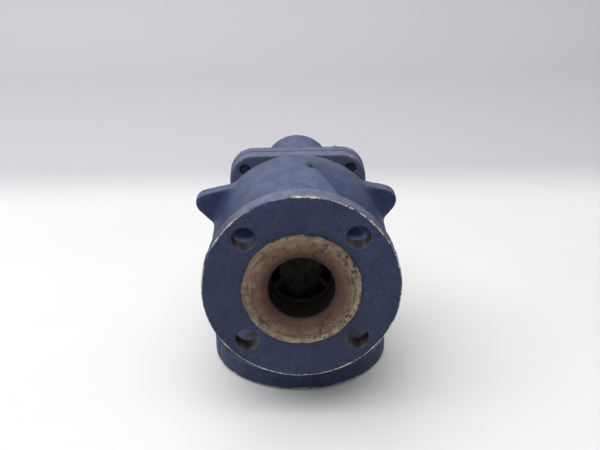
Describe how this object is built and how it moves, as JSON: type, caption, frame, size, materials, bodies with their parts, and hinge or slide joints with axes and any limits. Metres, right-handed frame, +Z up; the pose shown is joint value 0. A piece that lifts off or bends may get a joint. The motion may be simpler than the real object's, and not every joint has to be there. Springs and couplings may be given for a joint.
{
  "type": "steam trap",
  "caption": "Angle-pattern ball-float steam trap: flanged inlet in front, flanged outlet below, bolted rear cover with an air-vent boss.",
  "frame": {"origin": "centre of the outlet flange's raised face, on which the trap stands", "axes": "+Z up along the outlet axis, -Y out of the inlet, whose axis is 114.3 mm up; +X to the right seen from the inlet"},
  "size_m": [0.1661, 0.2, 0.1905],
  "materials": {
    "casting": "satin blue paint over sand-cast iron, chipped at the flange rims",
    "bolting": "blue-painted steel screws",
    "gasket": "dark graphite sheet",
    "stainless": "stained stainless steel",
    "plug_steel": "dull steel",
    "copper_ring": "soft copper",
    "plate": "blank plate, dull"
  },
  "bodies": {
    "casing": {"body": "casting", "cover": "casting", "cover_gasket": "gasket", "cover_screws": "bolting", "cover_washers": "bolting", "inlet_deflector": "stainless", "deflector_snap_ring": "stainless", "valve_seat": "stainless", "seat_gasket": "gasket", "mechanism_bracket": "stainless", "bracket_screws": "stainless", "pivot_pin": "stainless", "pin_clips": "stainless", "air_vent_seat": "stainless", "air_vent_capsule": "stainless", "air_vent_clip": "stainless", "passage_plug": "plug_steel", "drain_plug": "plug_steel", "drain_gasket": "copper_ring", "nameplate": "plate", "nameplate_pins": "plug_steel"},
    "float_arm": {"float_lever": "stainless", "float_ball": "stainless", "float_nut": "stainless", "valve_head": "stainless", "valve_clip": "stainless"},
    "vent_plunger": {"air_vent_plunger": "stainless"}
  },
  "joints": [
    {"name": "float_lever_pivot", "type": "hinge", "parent": "casing", "child": "float_arm", "pos_m": [0, 0.0217, 0.0886], "axis": [-1, 0, 0], "range_deg": [0, 18]},
    {"name": "air_vent_travel", "type": "slide", "parent": "casing", "child": "vent_plunger", "axis": [0, 1, 0], "range_m": [0, 0.0015]}
  ]
}
